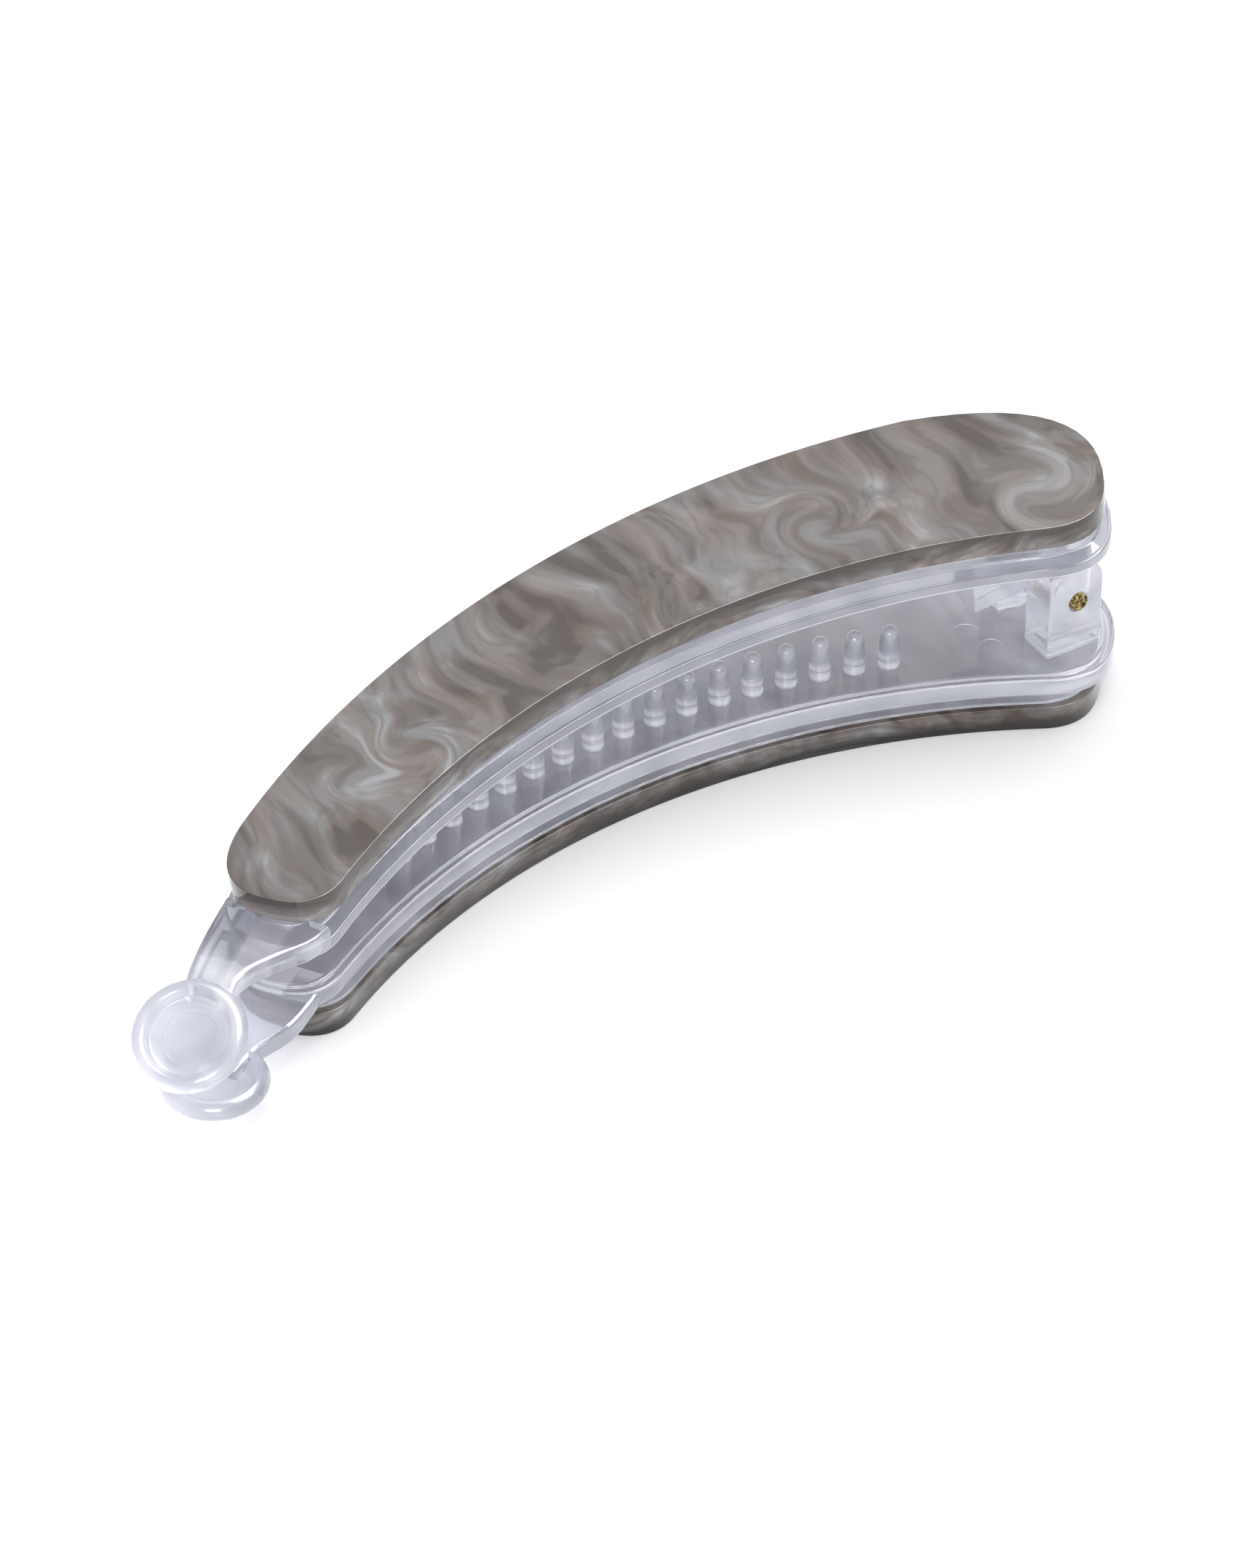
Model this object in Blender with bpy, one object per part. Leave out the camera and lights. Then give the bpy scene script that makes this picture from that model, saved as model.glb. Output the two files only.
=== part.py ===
"""Banana hair clip: two curved jaws with acetate cover plates, hinged at one end.

The clip lies on its lower plate, with the hinge at +X, the clasp at -X and the
hollow side of its curve towards -Y. Lengths are in millimetres until a mesh is
made. Angles are in degrees, about the centre of the curve, from +X.
"""
import math

import bmesh
import bpy

MM = 0.001

# Centre of the curve, measured from the point under the middle of the clip.
CURVE_X, CURVE_Y = 8.311, -88.323

# Plan of the band: front edge, back edge with a centre of its own, and both ends.
FRONT_R = 90.0
BACK_R, BACK_X, BACK_Y = 107.8, 8.65, 1.41
# Both ends, and where the two corners of the hinge end meet, as a share of the width.
LOW_ENDS, UP_ENDS = (57.1, 125.3, 0.4), (56.4, 123.9, 0.3)
CLASP_MEET = 0.46
ARC_STEPS, CORNER_STEPS = 28, 7
# Angle that each corner takes off the front and back edges, at hinge and clasp.
HINGE_FRONT, HINGE_BACK, CLASP_FRONT, CLASP_BACK = 4.6, 11.4, 3.6, 5.0

# Cover plates, and the gap that separate pieces keep.
PLATE_T, PLATE_EDGE = 3.0, 0.35
GAP = 0.3

# Lower jaw: neck on the plate, wider flange, shallow tray. Heights from the table.
LOW_NECK_INSET, UP_NECK_INSET, NECK_BACK, NECK_END = 1.5, 2.6, 1.6, -0.8
FLANGE_INSET, FLANGE_BACK = 0.9, -0.8
# How far each flange stands out past its plate, at hinge and clasp.
LOW_FLANGE_END, UP_FLANGE_END = (1.4, 0.8), (0.5, 1.0)
FLANGE_Z, FLOOR_Z, RIM_Z = 4.1, 5.7, 6.4
RIM_W = 1.45

# Upper jaw: flange, neck and hollow underside. Heights from the pin, before the tilt.
UP_FLANGE_Z, UP_LEDGE_Z, UP_NECK_Z, UP_CEILING_Z, UP_TOP_Z = 9.6, 11.0, 11.4, 12.9, 14.5
UP_WALL = 1.5
# The closed jaws make a wedge: the upper one is tilted about the pin.
WEDGE = 6.88

# Teeth, in one row along the lower jaw.
TOOTH_COUNT, TOOTH_FIRST, TOOTH_STEP = 18, 71.6, 2.41
TOOTH_ROW_R, TOOTH_H, TOOTH_SINK = 97.1, 5.25, 0.5
TOOTH_FOOT_R, TOOTH_TIP_R, TOOTH_SIDES = 1.25, 0.75, 12

# Hinge: a pin along Y through two lugs of the lower jaw and a knuckle of the upper.
PIN_X, UP_PIN_X, PIN_Z = 50.3, 50.9, 12.4
PIN_R, HOLE_R, PIN_CHAMFER = 1.05, 1.35, 0.15
PIN_Y = (83.0, 97.2)
FRONT_LUG_Y, KNUCKLE_Y, BACK_LUG_Y = (83.4, 88.2), (88.5, 93.0), (93.3, 97.0)
LUG_X, LUG_TOP, LUG_ROUND = (46.4, 53.6), 17.0, 2.4
KNUCKLE_LEFT, KNUCKLE_LOW, KNUCKLE_R = -10.6, 0.3, 3.3

# Clasp: each jaw runs out into an arm with a round finger pad. Places are given
# from the middle of the clasp end: along the curve's run, and across, outwards.
CLASP_ROW_R, CLASP_TURN = 97.0, 124.8
UP_PAD_AT, UP_PAD_Z, UP_PAD_R, UP_PAD_T, UP_PAD_TILT = (14.2, 2.65), 8.8, 6.5, 2.6, 30.0
LOW_PAD_AT, LOW_PAD_Z, LOW_PAD_R, LOW_PAD_T = (13.2, 0.5), 2.6, 5.9, 2.8
PAD_DISH, PAD_SIDES = 0.5, 28
ARM_EDGE = 0.6
# Stations of each arm: along, inner edge, outer edge, underside, top.
UP_ARM = (
    (-3.0, -5.4, 7.0, 10.2, 13.2),
    (0.0, -4.6, 6.7, 10.4, 13.2),
    (3.0, -2.6, 6.4, 10.5, 13.1),
    (6.0, -0.7, 6.0, 10.4, 12.9),
    (8.6, -0.1, 5.6, 10.2, 12.4),
    (11.0, -0.6, 5.2, 9.4, 11.2),
)
LOW_ARM = (
    (-3.0, -5.2, 5.8, 4.2, 6.2),
    (0.5, -5.1, 5.7, 3.6, 5.9),
    (4.5, -4.3, 4.8, 2.6, 5.0),
    (8.5, -2.1, 3.4, 1.9, 4.1),
    (12.0, -1.4, 2.4, 1.7, 3.6),
)


# Materials.

def material(name, color, roughness, metallic=0.0):
    mat = bpy.data.materials.new(name)
    mat.use_nodes = True
    shader = mat.node_tree.nodes["Principled BSDF"]
    shader.inputs["Base Color"].default_value = (*color, 1.0)
    shader.inputs["Roughness"].default_value = roughness
    shader.inputs["Metallic"].default_value = metallic
    return mat


# Plan outlines of the band. All have the same number of points, so they stack.

def polar(radius, angle):
    return radius * math.cos(math.radians(angle)), radius * math.sin(math.radians(angle))


def back_radius(angle, inset):
    """Distance from the curve's centre to the back edge at this angle."""
    ux, uy = polar(1.0, angle)
    along = ux * BACK_X + uy * BACK_Y
    apart = BACK_X ** 2 + BACK_Y ** 2 - (BACK_R - inset) ** 2
    return along + math.sqrt(along ** 2 - apart)


def bend(start, tip, stop):
    """Points of a round corner that leaves start, heads for tip and ends at stop."""
    points = []
    for i in range(CORNER_STEPS + 1):
        s = i / CORNER_STEPS
        weights = ((1 - s) ** 2, 2 * s * (1 - s), s ** 2)
        points.append(tuple(sum(w * p[k] for w, p in zip(weights, (start, tip, stop))) for k in (0, 1)))
    return points


def band_outline(ends, front, back, out):
    """Outline with its edges moved in by front and back, and each end out by its own length."""
    hinge = ends[0] - math.degrees(out[0] / CLASP_ROW_R)
    clasp = ends[1] + math.degrees(out[1] / CLASP_ROW_R)
    near = FRONT_R + front
    hinge_tip = polar(near + ends[2] * (back_radius(hinge, back) - near), hinge)
    clasp_tip = polar(near + CLASP_MEET * (back_radius(clasp, back) - near), clasp)

    def back_point(angle):
        return polar(back_radius(angle, back), angle)

    first, last = hinge + HINGE_FRONT, clasp - CLASP_FRONT
    points = [polar(near, first + (last - first) * i / ARC_STEPS) for i in range(ARC_STEPS)]
    points += bend(polar(near, last), polar(near, clasp), clasp_tip)
    first, last = clasp - CLASP_BACK, hinge + HINGE_BACK
    points += bend(clasp_tip, back_point(clasp), back_point(first))[1:]
    points += [back_point(first + (last - first) * i / ARC_STEPS) for i in range(1, ARC_STEPS)]
    points += bend(back_point(last), back_point(hinge), hinge_tip)
    points += bend(hinge_tip, polar(near, hinge), points[0])[1:-1]
    return points


def clasp_place(along, across):
    """Point beside the clasp end, in the frame of the curve's centre."""
    (ox, oy), (nx, ny) = polar(CLASP_ROW_R, CLASP_TURN), polar(1.0, CLASP_TURN)
    return ox - ny * along + nx * across, oy + nx * along + ny * across


# Solids.

def add_object(name, loops, mat, parent):
    """Closed solid through rings of points in millimetres, capped at both ends."""
    bm = bmesh.new()
    rings = [[bm.verts.new([c * MM for c in point]) for point in loop] for loop in loops]
    for low, high in zip(rings, rings[1:]):
        for i in range(len(low)):
            j = (i + 1) % len(low)
            bm.faces.new((low[i], low[j], high[j], high[i]))
    bm.faces.new(rings[0][::-1])
    bm.faces.new(rings[-1])
    bmesh.ops.recalc_face_normals(bm, faces=bm.faces)
    mesh = bpy.data.meshes.new(name)
    bm.to_mesh(mesh)
    bm.free()
    mesh.materials.append(mat)
    obj = bpy.data.objects.new(name, mesh)
    obj.parent = parent
    bpy.context.scene.collection.objects.link(obj)
    return obj


def stack(name, rings, mat, parent, pin_x=0.0):
    """Solid through plan outlines at rising heights, from the curve or from the pin."""
    return add_object(name, [[(x - pin_x, y, z) for x, y in ring] for ring, z in rings], mat, parent)


def block(name, outline, y_range, mat, parent):
    """Solid with an outline seen from the front, between two places along Y."""
    return add_object(name, [[(x, y, z) for x, z in outline] for y in y_range], mat, parent)


def turned(name, rows, sides, mat, parent, at, rotation=(0.0, 0.0, 0.0)):
    """Round solid about its own Z, from rows of radius and height."""
    loops = []
    for radius, z in rows:
        loops.append([(*polar(radius, 360.0 * i / sides), z) for i in range(sides)])
    obj = add_object(name, loops, mat, parent)
    obj.location = [c * MM for c in at]
    obj.rotation_euler = [math.radians(a) for a in rotation]
    return obj


def combine(target, operation, tools):
    """Join each tool to the target, or cut it out, and leave it as a hidden guide."""
    for tool in tools:
        tool.hide_render = True
        tool.display_type = "WIRE"
        mod = target.modifiers.new(tool.name, "BOOLEAN")
        mod.operation = operation
        mod.solver = "EXACT"
        mod.object = tool


def smooth(obj):
    obj.data.shade_smooth()
    obj.data.set_sharp_from_angle(angle=math.radians(35.0))


# Pieces.

def plate(name, ends, z0, mat, parent, pin_x=0.0):
    """Acetate cover plate with softly broken edges."""
    flat = band_outline(ends, PLATE_EDGE, PLATE_EDGE, (-PLATE_EDGE, -PLATE_EDGE))
    full = band_outline(ends, 0.0, 0.0, (0.0, 0.0))
    z1 = z0 + PLATE_T
    rings = [(flat, z0), (full, z0 + PLATE_EDGE), (full, z1 - PLATE_EDGE), (flat, z1)]
    smooth(stack(name, rings, mat, parent, pin_x))


def tooth(index, mat, parent):
    """Round tooth with a flared foot and a domed tip."""
    rows = [(TOOTH_FOOT_R + 0.1, -TOOTH_SINK), (TOOTH_FOOT_R, 0.15), (TOOTH_TIP_R + 0.05, TOOTH_H - 1.0),
            (TOOTH_TIP_R * 0.9, TOOTH_H - 0.45), (TOOTH_TIP_R * 0.55, TOOTH_H)]
    at = (*polar(TOOTH_ROW_R, TOOTH_FIRST + index * TOOTH_STEP), FLOOR_Z)
    return turned("tooth_%02d" % (index + 1), rows, TOOTH_SIDES, mat, parent, at)


def lug(name, y_range, mat, parent):
    """Upright lug on the tray, with a rounded top, for one end of the pin."""
    x0, x1 = LUG_X
    outline = [(x0, FLOOR_Z - 0.6), (x1, FLOOR_Z - 0.6)]
    outline += bend((x1, LUG_TOP - LUG_ROUND), (x1, LUG_TOP), (x1 - LUG_ROUND, LUG_TOP))
    outline += bend((x0 + 0.8, LUG_TOP), (x0, LUG_TOP), (x0, LUG_TOP - 0.8))
    return block(name, outline, y_range, mat, parent)


def knuckle(mat, parent):
    """Knuckle that hangs from the upper jaw, rounded about the pin."""
    top = UP_CEILING_Z + 0.6
    outline = [(KNUCKLE_R, top), (KNUCKLE_LEFT, top), (KNUCKLE_LEFT, KNUCKLE_LOW)]
    start = math.degrees(math.asin(KNUCKLE_LOW / KNUCKLE_R))
    for i in range(11):
        outline.append(polar(KNUCKLE_R, 180.0 - start + (180.0 + start) * i / 10))
    return block("knuckle", outline, KNUCKLE_Y, mat, parent)


def arm(name, stations, mat, parent):
    """Clasp arm: a band with broken edges through its stations."""
    loops = []
    for along, inner, outer, low, high in stations:
        e = ARM_EDGE
        section = [(inner + e, low), (outer - e, low), (outer, low + e), (outer, high - e),
                   (outer - e, high), (inner + e, high), (inner, high - e), (inner, low + e)]
        loops.append([(*clasp_place(along, across), z) for across, z in section])
    return add_object(name, loops, mat, parent)


def pad(name, place, z, radius, thick, tilt, mat, parent):
    """Round finger pad with a rounded rim and a dish in its upper side."""
    h = thick / 2
    rows = [(radius - 1.6, -h), (radius - 0.4, -0.5 * h), (radius, 0.0), (radius - 0.4, 0.55 * h),
            (radius - 1.2, h), (radius - 1.9, h - 0.1), (radius - 3.0, h - PAD_DISH)]
    at = (*clasp_place(*place), z)
    return turned(name, rows, PAD_SIDES, mat, parent, at, (0.0, tilt, CLASP_TURN + 90.0))


def pin_rod(name, radius, y_range, chamfer, mat, parent, at_x, at_z):
    """Round rod along Y: the pin itself, or the cutter for its hole."""
    length = y_range[1] - y_range[0]
    rows = [(radius - chamfer, 0.0), (radius, chamfer), (radius, length - chamfer), (radius - chamfer, length)]
    if chamfer == 0.0:
        rows = [(radius, 0.0), (radius, length)]
    return turned(name, rows, 20, mat, parent, (at_x, y_range[0], at_z), (-90.0, 0.0, 0.0))


def main():
    for obj in list(bpy.data.objects):
        bpy.data.objects.remove(obj, do_unlink=True)

    acetate = material("marbled_acetate", (0.25, 0.22, 0.20), 0.18)
    clear = material("clear_plastic", (0.72, 0.72, 0.80), 0.12)
    brass = material("brass", (0.52, 0.42, 0.20), 0.35, 1.0)

    # The curve's centre carries the lower pieces, and the tilted hinge axis the upper.
    curve = bpy.data.objects.new("curve_centre", None)
    curve.location = (CURVE_X * MM, CURVE_Y * MM, 0.0)
    hinge = bpy.data.objects.new("hinge_axis", None)
    hinge.parent = curve
    hinge.location = (PIN_X * MM, 0.0, PIN_Z * MM)
    hinge.rotation_euler = (0.0, -math.radians(WEDGE), 0.0)
    for empty in (curve, hinge):
        bpy.context.scene.collection.objects.link(empty)
    hole_y = (PIN_Y[0] - 2.0, PIN_Y[1] + 2.0)

    plate("lower_plate", LOW_ENDS, 0.0, acetate, curve)

    neck = band_outline(LOW_ENDS, LOW_NECK_INSET, NECK_BACK, (NECK_END, NECK_END))
    flange = band_outline(LOW_ENDS, FLANGE_INSET, FLANGE_BACK, LOW_FLANGE_END)
    inner_end = [out - RIM_W for out in LOW_FLANGE_END]
    tray = band_outline(LOW_ENDS, FLANGE_INSET + RIM_W, FLANGE_BACK + RIM_W, inner_end)
    rings = [(neck, PLATE_T + GAP), (neck, FLANGE_Z), (flange, FLANGE_Z), (flange, RIM_Z),
             (tray, RIM_Z), (tray, FLOOR_Z)]
    lower = stack("lower_jaw", rings, clear, curve)
    added = [tooth(i, clear, curve) for i in range(TOOTH_COUNT)]
    added.append(lug("front_lug", FRONT_LUG_Y, clear, curve))
    added.append(lug("back_lug", BACK_LUG_Y, clear, curve))
    added.append(arm("lower_arm", LOW_ARM, clear, curve))
    added.append(pad("lower_pad", LOW_PAD_AT, LOW_PAD_Z, LOW_PAD_R, LOW_PAD_T, 0.0, clear, curve))
    combine(lower, "UNION", added)
    combine(lower, "DIFFERENCE", [pin_rod("lug_hole", HOLE_R, hole_y, 0.0, clear, curve, PIN_X, PIN_Z)])
    smooth(lower)

    plate("upper_plate", UP_ENDS, UP_TOP_Z + GAP, acetate, hinge, UP_PIN_X)

    neck = band_outline(UP_ENDS, UP_NECK_INSET, NECK_BACK, (NECK_END, NECK_END))
    flange = band_outline(UP_ENDS, FLANGE_INSET, FLANGE_BACK, UP_FLANGE_END)
    inner_end = NECK_END - UP_WALL
    cavity = band_outline(UP_ENDS, UP_NECK_INSET + UP_WALL, NECK_BACK + UP_WALL, (inner_end, inner_end))
    rings = [(cavity, UP_CEILING_Z), (cavity, UP_FLANGE_Z), (flange, UP_FLANGE_Z), (flange, UP_LEDGE_Z),
             (neck, UP_NECK_Z), (neck, UP_TOP_Z)]
    upper = stack("upper_jaw", rings, clear, hinge, UP_PIN_X)
    added = [knuckle(clear, hinge), arm("upper_arm", UP_ARM, clear, curve)]
    added.append(pad("upper_pad", UP_PAD_AT, UP_PAD_Z, UP_PAD_R, UP_PAD_T, UP_PAD_TILT, clear, curve))
    combine(upper, "UNION", added)
    combine(upper, "DIFFERENCE", [pin_rod("knuckle_hole", HOLE_R, hole_y, 0.0, clear, hinge, 0.0, 0.0)])
    smooth(upper)

    smooth(pin_rod("hinge_pin", PIN_R, PIN_Y, PIN_CHAMFER, brass, curve, PIN_X, PIN_Z))


main()
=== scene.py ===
# %% [markdown]
# # A banana hair clip in marbled acetate and clear plastic
#
# The real clip has five pieces. Two long curved jaws are moulded in clear
# plastic, each with a glossy acetate cover plate on its outer side, and a short
# brass pin hinges them at one end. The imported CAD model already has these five
# solids in place. Here each one gets a finer twin with rounded edges, moulded
# details and a finish that is worked out from nodes.

import math

import bmesh
import bpy
from mathutils import Matrix, Vector


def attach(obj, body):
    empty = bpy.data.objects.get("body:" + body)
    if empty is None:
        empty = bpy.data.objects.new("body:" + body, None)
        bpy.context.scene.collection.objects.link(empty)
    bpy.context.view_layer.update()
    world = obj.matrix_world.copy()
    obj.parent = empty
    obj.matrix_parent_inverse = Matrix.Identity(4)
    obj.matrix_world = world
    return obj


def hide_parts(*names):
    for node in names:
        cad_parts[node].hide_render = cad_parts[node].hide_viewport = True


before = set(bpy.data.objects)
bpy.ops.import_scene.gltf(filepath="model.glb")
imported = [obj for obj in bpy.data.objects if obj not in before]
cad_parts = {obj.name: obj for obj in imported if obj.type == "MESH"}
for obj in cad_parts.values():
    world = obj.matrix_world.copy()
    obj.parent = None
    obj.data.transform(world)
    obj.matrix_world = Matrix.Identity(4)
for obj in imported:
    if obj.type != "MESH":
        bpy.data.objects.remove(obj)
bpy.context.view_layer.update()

# %% [markdown]
# ## The two frames that the clip is drawn in
#
# The jaws follow a curve about a far centre, so their plan is easiest to draw
# from that centre. The upper jaw is also tilted about the hinge pin, because the
# closed jaws make a wedge. Each piece is drawn level, which keeps every height
# simple, and a matrix then carries its mesh to its place. All lengths are in
# millimetres until a mesh is made.

# %% Lower and upper frame
MM = 0.001
CURVE_CENTRE = Vector((8.311, -88.323, 0.0))
PIN_X, PIN_Z = 50.3, 12.4  # the pin's axis, from the curve's centre
UPPER_PIN_X = 50.9         # the same axis in the upper jaw's level plan
WEDGE = 6.88               # degrees between the closed jaws

LOWER_FRAME = Matrix.Translation(CURVE_CENTRE * MM)
pin_place = (CURVE_CENTRE + Vector((PIN_X, 0.0, PIN_Z))) * MM
UPPER_FRAME = Matrix.Translation(pin_place) @ Matrix.Rotation(-math.radians(WEDGE), 4, "Y")
print("hinge axis at", [round(c, 5) for c in pin_place])

# %% [markdown]
# ## The banana-shaped plan
#
# Seen from above, every band of the clip has the same outline: an inner arc, an
# outer arc with a centre of its own, and two rounded ends. A mould maker would
# offset one master curve for the plate, the neck and the flange. One function
# does the same here, with the distances that its edges are moved in or out.

# %% Curves and corners
CORNER_STEPS = 14


def polar(radius, angle):
    return radius * math.cos(math.radians(angle)), radius * math.sin(math.radians(angle))


def spread(first, last, steps):
    """Evenly spaced values from first to last."""
    return [first + (last - first) * i / steps for i in range(steps + 1)]


def bend(start, tip, stop, steps=CORNER_STEPS):
    """Points of a round corner that leaves start, heads for tip and ends at stop."""
    points = []
    for s in spread(0.0, 1.0, steps):
        weights = ((1 - s) ** 2, 2 * s * (1 - s), s ** 2)
        points.append(tuple(sum(w * p[k] for w, p in zip(weights, (start, tip, stop)))
                            for k in range(len(start))))
    return points


def inside(edge, by):
    """The same edge of the plan, moved inwards all round."""
    return edge[0] + by, edge[1] + by, edge[2] - by, edge[3] - by


print("10 mm out at 30 degrees:", [round(c, 3) for c in polar(10.0, 30.0)])

# %% Plan outline of a band
FRONT_R = 90.0
BACK_R, BACK_X, BACK_Y = 107.8, 8.65, 1.41
END_ROW_R = 97.0
# Both ends in degrees along the curve, and where the hinge end's corners meet
# across the band, from 0 at the front to 1 at the back.
LOWER_ENDS, UPPER_ENDS = (57.1, 125.3, 0.4), (56.4, 123.9, 0.3)
CLASP_MEET = 0.46
# How far each corner reaches along the curve, in degrees.
HINGE_FRONT, HINGE_BACK, CLASP_FRONT, CLASP_BACK = 4.6, 11.4, 3.6, 5.0
ARC_STEPS = 72
HAIR = 0.02  # keeps these fine arcs inside the coarser CAD outline


def back_radius(angle, inset):
    """Distance from the curve's centre to the back edge at this angle."""
    ux, uy = polar(1.0, angle)
    along = ux * BACK_X + uy * BACK_Y
    apart = BACK_X ** 2 + BACK_Y ** 2 - (BACK_R - inset) ** 2
    return along + math.sqrt(along ** 2 - apart)


def band_outline(ends, front, back, hinge_out, clasp_out):
    """Outline from the hinge tip, by the front edge to the clasp tip and back."""
    front, back, hinge_out, clasp_out = inside((front, back, hinge_out, clasp_out), HAIR)
    hinge = ends[0] - math.degrees(hinge_out / END_ROW_R)
    clasp = ends[1] + math.degrees(clasp_out / END_ROW_R)
    near = FRONT_R + front

    def back_point(angle):
        return polar(back_radius(angle, back), angle)

    hinge_tip = polar(near + ends[2] * (back_radius(hinge, back) - near), hinge)
    clasp_tip = polar(near + CLASP_MEET * (back_radius(clasp, back) - near), clasp)
    front_run = spread(hinge + HINGE_FRONT, clasp - CLASP_FRONT, ARC_STEPS)
    back_run = spread(clasp - CLASP_BACK, hinge + HINGE_BACK, ARC_STEPS)
    front_arc, back_arc = [polar(near, a) for a in front_run], [back_point(a) for a in back_run]
    points = bend(hinge_tip, polar(near, hinge), front_arc[0]) + front_arc[1:-1]
    points += bend(front_arc[-1], polar(near, clasp), clasp_tip)[:-1]
    points += bend(clasp_tip, back_point(clasp), back_arc[0]) + back_arc[1:-1]
    points += bend(back_arc[-1], back_point(hinge), hinge_tip)[:-1]
    return points


print("points in an outline:", len(band_outline(LOWER_ENDS, 0.0, 0.0, 0.0, 0.0)))

# %% [markdown]
# ## From an outline to a solid with soft edges
#
# Moulded plastic and tumbled acetate have no sharp edges, and the thin bright
# line along each edge of the clip is light caught on its rounding. A Bevel
# modifier could round a finished solid. Here the rounding is drawn into the
# cross-section instead: each corner becomes a short curve, and the outline is
# offset to follow it. The rings then stack with no stray faces, and the flat
# top is closed by a ladder of quads that runs across the band.

# %% Rounded cross-sections
SOFT_STEPS = 5


def soften(corners):
    """Rounds the corners of a section: four offsets of the outline, height, radius."""
    path = []
    for k, corner in enumerate(corners):
        here, radius = Vector(corner[:5]), corner[5]
        if radius == 0.0:
            path.append(tuple(here))
            continue
        legs = [Vector(corners[j][:5]) - here for j in (k - 1, k + 1)]
        cuts = [here + leg * min(0.5, radius / math.hypot(leg[0], leg[4])) for leg in legs]
        path += bend(tuple(cuts[0]), tuple(here), tuple(cuts[1]), SOFT_STEPS)
    return path


print("points round a soft corner:", SOFT_STEPS + 1)

# %% Solids from stacked rings
def close_ladder(bm, ring):
    """Closes a band's end ring with quads that run across it."""
    count = len(ring)
    bm.faces.new((ring[0], ring[1], ring[-1]))
    for i in range(1, count // 2 - 1):
        bm.faces.new((ring[i], ring[i + 1], ring[count - i - 1], ring[count - i]))
    bm.faces.new((ring[count // 2 - 1], ring[count // 2], ring[count // 2 + 1]))


def add_solid(name, loops, place, ladder=False):
    """Closed solid through rings of points in millimetres."""
    bm = bmesh.new()
    rings = [[bm.verts.new([c * MM for c in point]) for point in loop] for loop in loops]
    for low, high in zip(rings, rings[1:]):
        for i in range(len(low)):
            j = (i + 1) % len(low)
            bm.faces.new((low[i], low[j], high[j], high[i]))
    for ring in (rings[0], rings[-1]):
        if ladder:
            close_ladder(bm, ring)
        else:
            bm.faces.new(ring)
    bmesh.ops.recalc_face_normals(bm, faces=bm.faces)
    bm.transform(place)
    mesh = bpy.data.meshes.new(name)
    bm.to_mesh(mesh)
    bm.free()
    piece = bpy.data.objects.new(name, mesh)
    bpy.context.scene.collection.objects.link(piece)
    return piece


def add_band(name, ends, corners, place, pin_x=0.0):
    """Solid whose plan is the banana outline and whose section has soft corners."""
    loops = []
    for *offsets, height in soften(corners):
        outline = band_outline(ends, *offsets)
        loops.append([(x - pin_x, y, height) for x, y in outline])
    return add_solid(name, loops, place, ladder=True)

# %% [markdown]
# ## Finishing touches that every piece shares
#
# A piece gets smooth shading with its real corners kept sharp, its finish, and
# its place in the imported model: the body that it rides on, and the plain solid
# that it stands for, which is hidden. One function does it for all five, so that
# none is forgotten.

# %% Finishing a piece
SMOOTH_ANGLE = 38.0


def finish_piece(piece, finish, body, node):
    """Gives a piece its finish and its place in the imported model."""
    piece.data.materials.clear()
    piece.data.materials.append(finish)
    piece.data.shade_smooth()
    piece.data.set_sharp_from_angle(angle=math.radians(SMOOTH_ANGLE))
    weights = piece.modifiers.new("even_shading", "WEIGHTED_NORMAL")
    weights.keep_sharp = True
    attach(piece, body)
    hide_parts(node)
    piece.data.calc_loop_triangles()
    print(piece.name, "has", len(piece.data.loop_triangles), "triangles")

# %% [markdown]
# ## Marbled pearl acetate
#
# The cover plates are cut from acetate sheet with pearl pigment stirred through
# it while it was soft. Its colours are a taupe grey, bluish pearl clouds and
# thin brown veins, and the stirring left long drawn-out streaks with a curl
# here and there. A painted picture could hold that, but it would be flat and
# end at the edges. Noise in the solid itself runs on over the rim as it does in
# a real sheet. Its nodes are made in code, so a small helper for that comes first.

# %% A small helper for node trees
def new_finish(name):
    """Material with its node tree, its Principled shader and a way to add nodes."""
    finish = bpy.data.materials.new(name)
    finish.use_nodes = True
    tree = finish.node_tree
    shader = tree.nodes["Principled BSDF"]

    def add(kind, inputs=None, **settings):
        node = tree.nodes.new("ShaderNode" + kind)
        for key, value in settings.items():
            setattr(node, key, value)
        for key, value in (inputs or {}).items():
            socket = node.inputs[key]
            if isinstance(value, bpy.types.NodeSocket):
                tree.links.new(value, socket)
            else:
                socket.default_value = value
        return node

    def to_shader(**sockets):
        for key, value in sockets.items():
            tree.links.new(value, shader.inputs[key.replace("_", " ")])

    return finish, shader, add, to_shader


def from_sampled(red, green, blue):
    """Linear colour of a tone given as it looks on a screen, 0 to 255."""
    return tuple(((c / 255 + 0.055) / 1.055) ** 2.4 for c in (red, green, blue)) + (1.0,)


print("screen grey 128 in linear light:", round(from_sampled(128, 128, 128)[0], 3))

# %% [markdown]
# ### Stirring the sheet
#
# A curl is a turn of the noise's own coordinates about a centre, strongest in
# the middle and fading out, just as a stirring rod leaves it. Two slow noises
# then push the coordinates about, as the soft sheet folded. All of it happens in
# the plate's own level frame, so the pattern lies true in the tilted plate.

# %% Curls and folds
# Centre of each curl in the plate's own plan, its radius and its turn in degrees.
UPPER_CURLS = (
    (-3.4, 84.4, 9.0, 130.0),
    (-25.5, 95.5, 8.0, 100.0),
    (-80.5, 90.4, 7.0, -90.0),
    (-88.0, 91.5, 6.5, 90.0),
)
LOWER_CURLS = (
    (20.0, 96.0, 9.0, 150.0),
)
FOLDS = ((0.045, 13.0), (0.13, 3.6))  # how fine each fold is, and how far it reaches


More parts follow.
